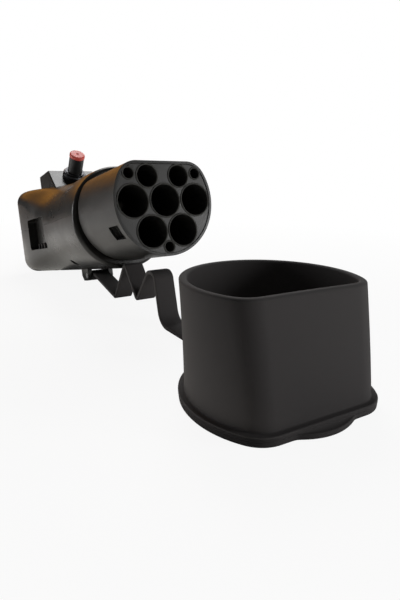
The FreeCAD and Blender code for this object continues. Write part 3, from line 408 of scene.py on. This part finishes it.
def skin(name, rings, looped=False):
    """Mesh through rings of equally many points; its ends are filled, or it closes on itself."""
    count = len(rings[0])
    points = [point for ring in rings for point in ring]
    faces = []
    spans = len(rings) if looped else len(rings) - 1
    for k in range(spans):
        a = k * count
        b = (k + 1) % len(rings) * count
        for i in range(count):
            j = (i + 1) % count
            faces.append((a + i, a + j, b + j, b + i))
    if not looped:
        faces.append(tuple(range(count)))
        faces.append(tuple(range(len(points) - count, len(points))))
    mesh = bpy.data.meshes.new(name)
    mesh.from_pydata(points, [], faces)
    return mesh


def mark(mesh, name, values):
    """Stores one number for each point, for the material to read."""
    layer = mesh.attributes.new(name, "FLOAT", "POINT")
    layer.data.foreach_set("value", values)


def d_reach(angle, radius, flat, corner):
    """Distance from the centre to a circle cut by a flat at the top, its corners rounded."""
    side = abs(math.cos(angle))
    rise = math.sin(angle)
    cv = flat - corner
    cu = math.sqrt((radius - corner) ** 2 - cv ** 2)
    tilt = math.atan2(rise, side)
    if tilt >= math.atan2(flat, cu):
        return flat / rise
    if tilt > math.atan2(cv, cu):
        along = cu * side + cv * rise
        return along + math.sqrt(along ** 2 - cu ** 2 - cv ** 2 + corner ** 2)
    return radius


def angles():
    return [2.0 * math.pi * i / AROUND for i in range(AROUND)]


# Dust cap


def cap_outline(share, inset):
    """Reach of the cap's wall at every angle, at a share of its height."""
    radius, flat, corner = [low + (high - low) * share for low, high in zip(CAP_BASE, CAP_TOP)]
    return [d_reach(a, radius - inset, flat - inset, max(1.0, corner - inset)) for a in angles()]


def rim_outline(inset, with_lip):
    """Reach of the rim at the base, below with the thinner finger lip blended in."""
    radius, flat, corner = [size + CAP_RIM_STEP - inset for size in CAP_BASE]
    centre = CAP_BASE[1] + CAP_RIM_STEP + CAP_LIP - CAP_LIP_RADIUS
    soft = 0.5
    reach = []
    for a in angles():
        plain = d_reach(a, radius, flat, corner)
        if not with_lip:
            reach.append(plain)
            continue
        along = centre * math.sin(a)
        lip = along + math.sqrt(along ** 2 - centre ** 2 + (CAP_LIP_RADIUS - inset) ** 2)
        reach.append(0.5 * (plain + lip + math.sqrt((plain - lip) ** 2 + soft ** 2)) - 0.25 * soft)
    return reach


def cap_sections(top):
    """Rows of height, inset, outline, painted edge highlight and inside, from the base's middle round to the
    floor's.
    """
    rows = [(0.0, 0.6, LIP, 0.0, 0.0), (0.08, 0.25, LIP, 0.3, 0.0), (0.35, 0.05, LIP, 0.3, 0.0),
            (0.8, 0.0, LIP, 0.1, 0.0), (CAP_LIP_HEIGHT - 0.5, 0.0, LIP, 0.2, 0.0),
            (CAP_LIP_HEIGHT - 0.15, 0.06, LIP, 0.8, 0.0), (CAP_LIP_HEIGHT, 0.28, LIP, 0.8, 0.0),
            (CAP_LIP_HEIGHT, 0.5, LIP, 0.2, 0.0), (CAP_LIP_HEIGHT + 0.02, 0.02, RIM, 0.0, 0.0),
            (CAP_LIP_HEIGHT + 0.3, 0.0, RIM, 0.0, 0.0), (CAP_RIM_HEIGHT - 0.45, 0.0, RIM, 0.2, 0.0),
            (CAP_RIM_HEIGHT - 0.13, 0.07, RIM, 0.8, 0.0), (CAP_RIM_HEIGHT, 0.32, RIM, 0.8, 0.0),
            (CAP_RIM_HEIGHT, 0.6, RIM, 0.2, 0.0), (CAP_RIM_HEIGHT, -0.35, WALLED, 0.0, 0.0),
            (CAP_RIM_HEIGHT + 0.12, -0.1, WALLED, 0.0, 0.0), (CAP_RIM_HEIGHT + 0.45, 0.0, WALLED, 0.0, 0.0)]
    roll = 0.9
    steps = 14
    low = CAP_RIM_HEIGHT + 0.45
    rows += [(low + (top - roll - low) * k / steps, 0.0, WALLED, 0.0, 0.0) for k in range(1, steps + 1)]
    arc = [math.radians(15.0 * k) for k in range(1, 7)]
    rows += [(top - roll + roll * math.sin(t), roll * (1.0 - math.cos(t)), WALLED, 1.0, 0.0) for t in arc]
    rows += [(top - roll + roll * math.sin(t), CAP_WALL - roll * (1.0 - math.cos(t)), WALLED, 1.0, 0.2)
             for t in reversed(arc)]
    low = CAP_FLOOR + 1.5
    rows += [(top - roll - (top - roll - low) * k / steps, CAP_WALL, WALLED, 0.0, 1.0)
             for k in range(steps + 1)]
    rows += [(CAP_FLOOR + 0.45, CAP_WALL + 0.45, WALLED, 0.0, 1.0),
             (CAP_FLOOR, CAP_WALL + 1.5, WALLED, 0.0, 1.0)]
    return rows


class ADAPTER_OT_build_cap(bpy.types.Operator):
    """Build the rubber dust cap with its rim, finger lip and soft mouth"""
    bl_idname = "adapter.build_cap"
    bl_label = "Build Dust Cap"

    def execute(self, context):
        cap = settings().cap
        top = cap.height / MM
        rings = []
        edge = []
        inside = []
        for height, inset, outline, edge_highlight, within in cap_sections(top):
            share = height / top
            reach = cap_outline(share, inset) if outline == WALLED else rim_outline(inset, outline == LIP)
            lean = Vector((cap.lean_x, cap.lean_y, 0.0)) * share ** LEAN_CURVE
            ring = []
            for a, r in zip(angles(), reach):
                r += cap.sag / MM * math.sin(2.0 * a + 1.0) * share ** 2
                u = r * math.cos(a)
                v = -r * math.sin(a)
                x = u * math.cos(CAP_YAW) - v * math.sin(CAP_YAW)
                y = u * math.sin(CAP_YAW) + v * math.cos(CAP_YAW)
                ring.append(CAP_CENTRE + lean + Vector((x, y, height)) * MM)
            rings.append(ring)
            # The edge attribute holds each row's painted edge highlight
            edge += [edge_highlight] * AROUND
            inside += [within] * AROUND
        mesh = skin("soft_cap", rings)
        mark(mesh, "edge", edge)
        mark(mesh, "inside", inside)
        finished("soft_cap", mesh, "cap_rubber", "cap", "dust_cap")
        return {"FINISHED"}


# Strap


def table_point(x, y, z):
    """From the table's frame, in millimetres, to the row frame, in metres."""
    return Vector((FACE_CENTRE.x + x * MM, FACE_CENTRE.y + y * MM, z * MM))


def folded_line(points, radii, steps=14):
    """Points and directions along a folded line in a side view, its corners rounded."""
    line = []
    last_way = None
    for before, corner, after, radius in zip(points, points[1:], points[2:], radii):
        back = (corner - before).normalized()
        ahead = (after - corner).normalized()
        turn = math.atan2(back.cross(ahead), back.dot(ahead))
        reach = radius * math.tan(0.5 * abs(turn))
        side = math.copysign(1.0, turn)
        start = corner - back * reach
        centre = start + Vector((-back.y, back.x)) * side * radius
        arm = start - centre
        if last_way is None:
            line.append((points[0], back))
        for k in range(steps + 1):
            spin = Matrix.Rotation(turn * k / steps, 2)
            line.append((centre + spin @ arm, (spin @ back).normalized()))
        last_way = ahead
    line.append((points[-1], last_way))
    return line


def band_section(width, thickness, corner, steps=4):
    """Rounded rectangle, across and through the strap."""
    ring = []
    for sx, sz, first in ((1, 1, 0.0), (-1, 1, 90.0), (-1, -1, 180.0), (1, -1, 270.0)):
        for k in range(steps + 1):
            a = math.radians(first + 90.0 * k / steps)
            ring.append((sx * (0.5 * width - corner) + corner * math.cos(a),
                         sz * (0.5 * thickness - corner) + corner * math.sin(a)))
    return ring


def eye_rings(width):
    """Strap's eye: a sleeve round the pin, its edges rounded."""
    centre = to_row(0.0, LUG_Y, LUG_Z)
    half = 0.5 * width / MM
    section = [(-half, EYE_BORE), (-half, LUG_RADIUS - 0.4), (-half + 0.12, LUG_RADIUS - 0.12),
               (-half + 0.4, LUG_RADIUS), (half - 0.4, LUG_RADIUS), (half - 0.12, LUG_RADIUS - 0.12),
               (half, LUG_RADIUS - 0.4), (half, EYE_BORE)]
    turns = [2.0 * math.pi * i / EYE_AROUND for i in range(EYE_AROUND)]
    return [[centre + Vector((x, r * math.cos(t), r * math.sin(t))) * MM for t in turns] for x, r in section]


class ADAPTER_OT_build_strap(bpy.types.Operator):
    """Build the folded rubber strap and the eye that its pin passes"""
    bl_idname = "adapter.build_strap"
    bl_label = "Build Strap"

    def execute(self, context):
        strap = settings().strap
        eye = to_row(0.0, LUG_Y, LUG_Z) - FACE_CENTRE
        start = Vector((eye.y / MM, (eye.z + FACE_CENTRE.z) / MM + LUG_RADIUS - 1.0))
        points = [start] + [Vector(p) for p in STRAP_ROUTE] + [Vector((STRAP_END, 1.0))]
        section = band_section(strap.width / MM, strap.thickness / MM, STRAP_CORNER)
        rings = []
        for place, way in folded_line(points, STRAP_RADII):
            normal = Vector((-way.y, way.x))
            rings.append([table_point(u, *(place + normal * w)) for u, w in section])
        mesh = skin("soft_strap", rings)
        # Painted edge highlight on the strap's rounded corners, held in the edge attribute
        corners = [STRAP_EDGE_HIGHLIGHT if abs(abs(w) - 0.5 * strap.thickness / MM) > 0.05 else 0.0 for _, w in section]
        mark(mesh, "edge", corners * len(rings))
        finished("soft_strap", mesh, "cap_rubber", "cap", "dust_cap")
        sleeve = skin("strap_eye", eye_rings(strap.width), True)
        finished("strap_eye", sleeve, "cap_rubber", "cap", "dust_cap")
        return {"FINISHED"}


class ADAPTER_OT_build_seal(bpy.types.Operator):
    """Build the rubber ring between the barrel's root and the collar"""
    bl_idname = "adapter.build_seal"
    bl_label = "Build Root Seal"

    def execute(self, context):
        middle = 0.5 * (SEAL_START + SEAL_END)
        rows = [(SEAL_START, 0.5), (SEAL_START + 0.15, 0.12), (SEAL_START + 0.6, 0.0), (middle - 0.35, 0.1),
                (middle, 0.45), (middle + 0.35, 0.1), (SEAL_END - 0.6, 0.0), (SEAL_END - 0.15, 0.12),
                (SEAL_END, 0.5)]
        rings = []
        for y, inset in rows:
            rings.append(self.ring(y, [size - inset for size in SEAL_OUTLINE]))
        for y in (SEAL_END, SEAL_START):
            rings.append(self.ring(y, [size + 0.12 for size in NECK_OUTLINE]))
        finished("soft_seal", skin("soft_seal", rings, True), "seal_rubber", "adapter", "root_seal")
        return {"FINISHED"}

    def ring(self, y, sizes):
        radius, flat, corner = sizes
        points = []
        for a in angles():
            r = d_reach(a, radius, flat - BARREL_CENTRE_Z, corner)
            points.append(to_row(r * math.cos(a), y, r * math.sin(a) + BARREL_CENTRE_Z))
        return points


# Repeats by Geometry Nodes


def repeat_group():
    """Geometry Nodes group that puts a template on every point and makes the result real."""
    group = bpy.data.node_groups.new("Repeat", "GeometryNodeTree")
    sockets = {}
    for name, kind in (("Points", "Geometry"), ("Template", "Object"), ("Finish", "Material")):
        sockets[name] = group.interface.new_socket(name, in_out="INPUT", socket_type="NodeSocket" + kind)
    group.interface.new_socket("Result", in_out="OUTPUT", socket_type="NodeSocketGeometry")
    given = group.nodes.new("NodeGroupInput")
    result = group.nodes.new("NodeGroupOutput")
    template = group.nodes.new("GeometryNodeObjectInfo")
    spread = group.nodes.new("GeometryNodeInstanceOnPoints")
    real = group.nodes.new("GeometryNodeRealizeInstances")
    paint = group.nodes.new("GeometryNodeSetMaterial")
    link = group.links.new
    link(given.outputs["Points"], spread.inputs["Points"])
    link(given.outputs["Template"], template.inputs["Object"])
    link(template.outputs["Geometry"], spread.inputs["Instance"])
    link(spread.outputs["Instances"], real.inputs["Geometry"])
    link(real.outputs["Geometry"], paint.inputs["Geometry"])
    link(given.outputs["Finish"], paint.inputs["Material"])
    link(paint.outputs["Geometry"], result.inputs["Result"])
    return group, sockets


def repeat(name, places, template, material, body):
    """The template's mesh at every place, as one plain object on a body."""
    group, sockets = repeat_group()
    points = bpy.data.meshes.new(name + "_points")
    points.from_pydata(places, [], [])
    carrier = bpy.data.objects.new(name + "_points", points)
    pattern = bpy.data.objects.new(name + "_template", template)
    for helper in (carrier, pattern):
        bpy.context.scene.collection.objects.link(helper)
    modifier = carrier.modifiers.new("Repeat", "NODES")
    modifier.node_group = group
    modifier[sockets["Template"].identifier] = pattern
    modifier[sockets["Finish"].identifier] = bpy.data.materials[material]
    bpy.context.view_layer.update()
    mesh = bpy.data.meshes.new_from_object(carrier.evaluated_get(bpy.context.evaluated_depsgraph_get()))
    mesh.name = name
    carrier.modifiers.remove(modifier)
    for helper in (carrier, pattern):
        bpy.data.objects.remove(helper)
    if not mesh.polygons:
        raise RuntimeError(name + " came out empty")
    return finished(name, mesh, material, body, None)


def in_place(x, y, z):
    """A way or an offset of the adapter's frame, in millimetres, turned to the row frame."""
    return (ADAPTER_X * x + NOSE_AXIS * y + ADAPTER_Z * z) * MM


def rim_template(radius, thick):
    """Rounded rim of one hole, round the plug's axis."""
    turns = [2.0 * math.pi * i / RIM_AROUND for i in range(RIM_AROUND)]
    steps = [2.0 * math.pi * k / RIM_SECTION for k in range(RIM_SECTION)]
    rings = []
    for k in steps:
        r = radius + 0.5 * thick + thick * math.cos(k)
        rings.append([in_place(r * math.cos(t), 0.8 * thick * math.sin(k), r * math.sin(t)) for t in turns])
    mesh = skin("rim", rings, True)
    # The whole rim carries the painted edge highlight, a pale colour standing in for light on its rounded lip
    mark(mesh, "edge", [1.0] * len(mesh.vertices))
    return mesh


def rib_template(length, thick, height):
    """One upright rib, its edges bevelled."""
    work = bmesh.new()
    bmesh.ops.create_cube(work, size=1.0)
    for vertex in work.verts:
        x, y, z = vertex.co
        vertex.co = in_place(x * length, y * thick, z * height)
    bmesh.ops.bevel(work, geom=work.edges[:], offset=0.25 * MM, segments=2, affect="EDGES", profile=0.5)
    mesh = bpy.data.meshes.new("rib")
    work.to_mesh(mesh)
    work.free()
    return mesh


class ADAPTER_OT_build_repeats(bpy.types.Operator):
    """Repeat the hole rims on the plug face and the ribs in the side pockets"""
    bl_idname = "adapter.build_repeats"
    bl_label = "Build Rims and Ribs"

    def execute(self, context):
        face = settings().face
        rim = face.rim / MM
        low = POWER_PITCH * math.sin(math.radians(60.0))
        half = 0.5 * POWER_PITCH
        power = ((0.0, 0.0), (-POWER_PITCH, 0.0), (POWER_PITCH, 0.0), (-half, -low), (half, -low))
        rows = (("power_rims", power, POWER_HOLE), ("signal_rims", SIGNAL_PLACES, SIGNAL_HOLE),
                ("screw_rims", SCREW_PLACES, SCREW_HOLE))
        for name, places, radius in rows:
            spots = [to_row(x, FACE_RECESS, z) for x, z in places]
            repeat(name, spots, rim_template(radius, rim), "carrier_plastic", "adapter")
        if face.ribs:
            pitch = (POCKET_BACK - POCKET_FRONT) / (face.ribs + 1)
            out = POCKET_FLOOR_X + 0.5 * RIB_LENGTH - RIB_SINK
            up = POCKET_LOW + 0.5 * RIB_HEIGHT - RIB_SINK
            spots = [to_row(side * out, POCKET_FRONT + pitch * (i + 1), up)
                     for side in (-1.0, 1.0) for i in range(face.ribs)]
            template = rib_template(RIB_LENGTH, RIB_THICK, RIB_HEIGHT)
            repeat("pocket_ribs", spots, template, "housing_plastic", "adapter")
        return {"FINISHED"}


# Stage

FACE_TO_CAMERA = Vector((-0.1009, -0.18569, 0.01386))
CAMERA_FORWARD = Vector((0.5233, 0.8052, -0.2790))
CAMERA_RIGHT = Vector((0.841, -0.5409, 0.0164))
HOUSING_MIDDLE = (0.0, 0.09, 0.065)
CAP_MIDDLE = (0.0, -0.12, 0.03)
AMBER = (1.0, 0.40, 0.02)
CARD_WHITE = (1.0, 0.97, 0.90)
CARD_LIFT = 0.003
FLOOR_REACH = 6.0
FADE_START = 0.10            # how far from the origin the floor begins to fade to white
FADE_END = 0.45
NEAR_WHITE = 0.90            # share of white in the floor before the fade
WORLD_STRENGTH = 0.09


def area_light(name, place, target, size, power, colour=(1.0, 1.0, 1.0)):
    lamp = bpy.data.lights.new(name, "AREA")
    lamp.shape = "RECTANGLE"
    lamp.size, lamp.size_y = size
    lamp.energy = power
    lamp.color = colour
    holder = bpy.data.objects.new(name, lamp)
    bpy.context.scene.collection.objects.link(holder)
    holder.location = place
    holder.rotation_euler = (Vector(target) - Vector(place)).to_track_quat("-Z", "Y").to_euler()
    return holder


def floor_card(name, place, size, power):
    """White card of light lying on the floor, hidden from the camera."""
    x, y = place
    holder = area_light(name, (x, y, CARD_LIFT), (x, y, 1.0), size, power, CARD_WHITE)
    holder.visible_camera = False


def make_camera(lens):
    """Camera at the photograph's place, found from the plug face and the cap."""
    camera = bpy.data.cameras.new("camera")
    camera.sensor_fit = "VERTICAL"
    camera.sensor_height = 36.0
    camera.lens = lens
    camera.clip_start = 0.01
    holder = bpy.data.objects.new("camera", camera)
    bpy.context.scene.collection.objects.link(holder)
    forward = CAMERA_FORWARD.normalized()
    right = (CAMERA_RIGHT - forward * CAMERA_RIGHT.dot(forward)).normalized()
    up = right.cross(forward)
    turn = Matrix((right, up, -forward)).transposed()
    holder.matrix_world = Matrix.Translation(FACE_CENTRE + FACE_TO_CAMERA) @ turn.to_4x4()
    bpy.context.scene.camera = holder


def make_floor():
    """Pale floor that the camera sees fade to white, so that no horizon shows."""
    mesh = bpy.data.meshes.new("floor")
    far = FLOOR_REACH
    mesh.from_pydata([(-far, -far, 0), (far, -far, 0), (far, far, 0), (-far, far, 0)], [], [(0, 1, 2, 3)])
    floor = bpy.data.objects.new("floor", mesh)
    bpy.context.scene.collection.objects.link(floor)
    material = bpy.data.materials.new("floor")
    material.use_nodes = True
    tree = material.node_tree
    shader = tree.nodes["Principled BSDF"]
    shader.inputs["Base Color"].default_value = (0.9, 0.9, 0.9, 1.0)
    shader.inputs["Roughness"].default_value = 0.9
    shader.inputs["Specular IOR Level"].default_value = 0.1
    white = tree.nodes.new("ShaderNodeEmission")
    place = tree.nodes.new("ShaderNodeTexCoord")
    distance = tree.nodes.new("ShaderNodeVectorMath")
    distance.operation = "LENGTH"
    fade = tree.nodes.new("ShaderNodeMapRange")
    fade.inputs["From Min"].default_value = FADE_START
    fade.inputs["From Max"].default_value = FADE_END
    fade.inputs["To Min"].default_value = NEAR_WHITE
    mix = tree.nodes.new("ShaderNodeMixShader")
    paths = tree.nodes.new("ShaderNodeLightPath")
    tree.links.new(place.outputs["Object"], distance.inputs[0])
    tree.links.new(distance.outputs["Value"], fade.inputs["Value"])
    tree.links.new(scaled(tree, fade.outputs["Result"], paths.outputs["Is Camera Ray"]), mix.inputs["Fac"])
    tree.links.new(shader.outputs["BSDF"], mix.inputs[1])
    tree.links.new(white.outputs["Emission"], mix.inputs[2])
    tree.links.new(mix.outputs["Shader"], tree.nodes["Material Output"].inputs["Surface"])
    floor.data.materials.append(material)


def make_world():
    """White to the camera, and a faint grey light on everything else."""
    world = bpy.data.worlds.new("studio")
    bpy.context.scene.world = world
    world.use_nodes = True
    tree = world.node_tree
    light = tree.nodes["Background"]
    light.inputs["Color"].default_value = (0.9, 0.9, 0.9, 1.0)
    light.inputs["Strength"].default_value = WORLD_STRENGTH
    shown = tree.nodes.new("ShaderNodeBackground")
    shown.inputs["Color"].default_value = (1.0, 1.0, 1.0, 1.0)
    paths = tree.nodes.new("ShaderNodeLightPath")
    mix = tree.nodes.new("ShaderNodeMixShader")
    tree.links.new(paths.outputs["Is Camera Ray"], mix.inputs["Fac"])
    tree.links.new(light.outputs["Background"], mix.inputs[1])
    tree.links.new(shown.outputs["Background"], mix.inputs[2])
    tree.links.new(mix.outputs["Shader"], tree.nodes["World Output"].inputs["Surface"])


class ADAPTER_OT_build_stage(bpy.types.Operator):
    """Set up the pale floor, the soft lights and the camera"""
    bl_idname = "adapter.build_stage"
    bl_label = "Build Stage"

    def execute(self, context):
        stage = settings().stage
        make_camera(stage.lens)
        make_floor()
        make_world()
        area_light("top", (0.18, 0.30, 0.60), HOUSING_MIDDLE, (0.30, 0.30), stage.top_power)
        area_light("right", (0.45, -0.55, 0.15), CAP_MIDDLE, (0.16, 0.3), 1.9 * stage.side_power)
        area_light("warm", (-0.05, 1.0, 0.42), (0.0, 0.0, 0.07), (1.0, 0.22), stage.warm_power, AMBER)
        area_light("edge", (-0.42, 0.30, 0.10), CAP_MIDDLE, (0.12, 0.25), 0.8 * stage.side_power)
        area_light("behind", (0.45, 0.60, 0.35), (0.0, 0.10, 0.05), (0.5, 0.4), 1.2 * stage.side_power)
        floor_card("card beside", (-0.05, 0.05), (0.07, 0.40), 0.05 * stage.side_power)
        floor_card("card before", (0.26, -0.36), (0.34, 0.3), 0.5 * stage.side_power)
        context.scene.view_settings.view_transform = "Standard"
        return {"FINISHED"}


class AdapterSettings(bpy.types.PropertyGroup):
    """Everything that a user may set."""
    cap: PointerProperty(type=CapSettings)
    strap: PointerProperty(type=StrapSettings)
    face: PointerProperty(type=FaceSettings)
    finish: PointerProperty(type=FinishSettings)
    stage: PointerProperty(type=StageSettings)


class ADAPTER_PT_panel(bpy.types.Panel):
    """Sidebar panel with the adapter's settings and steps"""
    bl_label = "Charging Adapter"
    bl_idname = "ADAPTER_PT_panel"
    bl_space_type = "VIEW_3D"
    bl_region_type = "UI"
    bl_category = "Adapter"

    def draw(self, context):
        groups = context.scene.charging_adapter
        for name in ("cap", "strap", "face", "finish", "stage"):
            box = self.layout.box()
            group = getattr(groups, name)
            for field in group.__annotations__:
                box.prop(group, field)
        for operator in OPERATORS:
            self.layout.operator(operator.bl_idname)


OPERATORS = (
    ADAPTER_OT_finish_nodes,
    ADAPTER_OT_build_cap,
    ADAPTER_OT_build_strap,
    ADAPTER_OT_build_seal,
    ADAPTER_OT_build_repeats,
    ADAPTER_OT_build_stage,
)
CLASSES = (CapSettings, StrapSettings, FaceSettings, FinishSettings, StageSettings, AdapterSettings,
           *OPERATORS, ADAPTER_PT_panel)


def register():
    for item in CLASSES:
        bpy.utils.register_class(item)
    bpy.types.Scene.charging_adapter = PointerProperty(type=AdapterSettings)


def unregister():
    del bpy.types.Scene.charging_adapter
    for item in reversed(CLASSES):
        bpy.utils.unregister_class(item)


def main():
    register()
    bpy.ops.adapter.finish_nodes()
    bpy.ops.adapter.build_cap()
    bpy.ops.adapter.build_strap()
    bpy.ops.adapter.build_seal()
    bpy.ops.adapter.build_repeats()
    bpy.ops.adapter.build_stage()


if __name__ == "__main__":
    main()
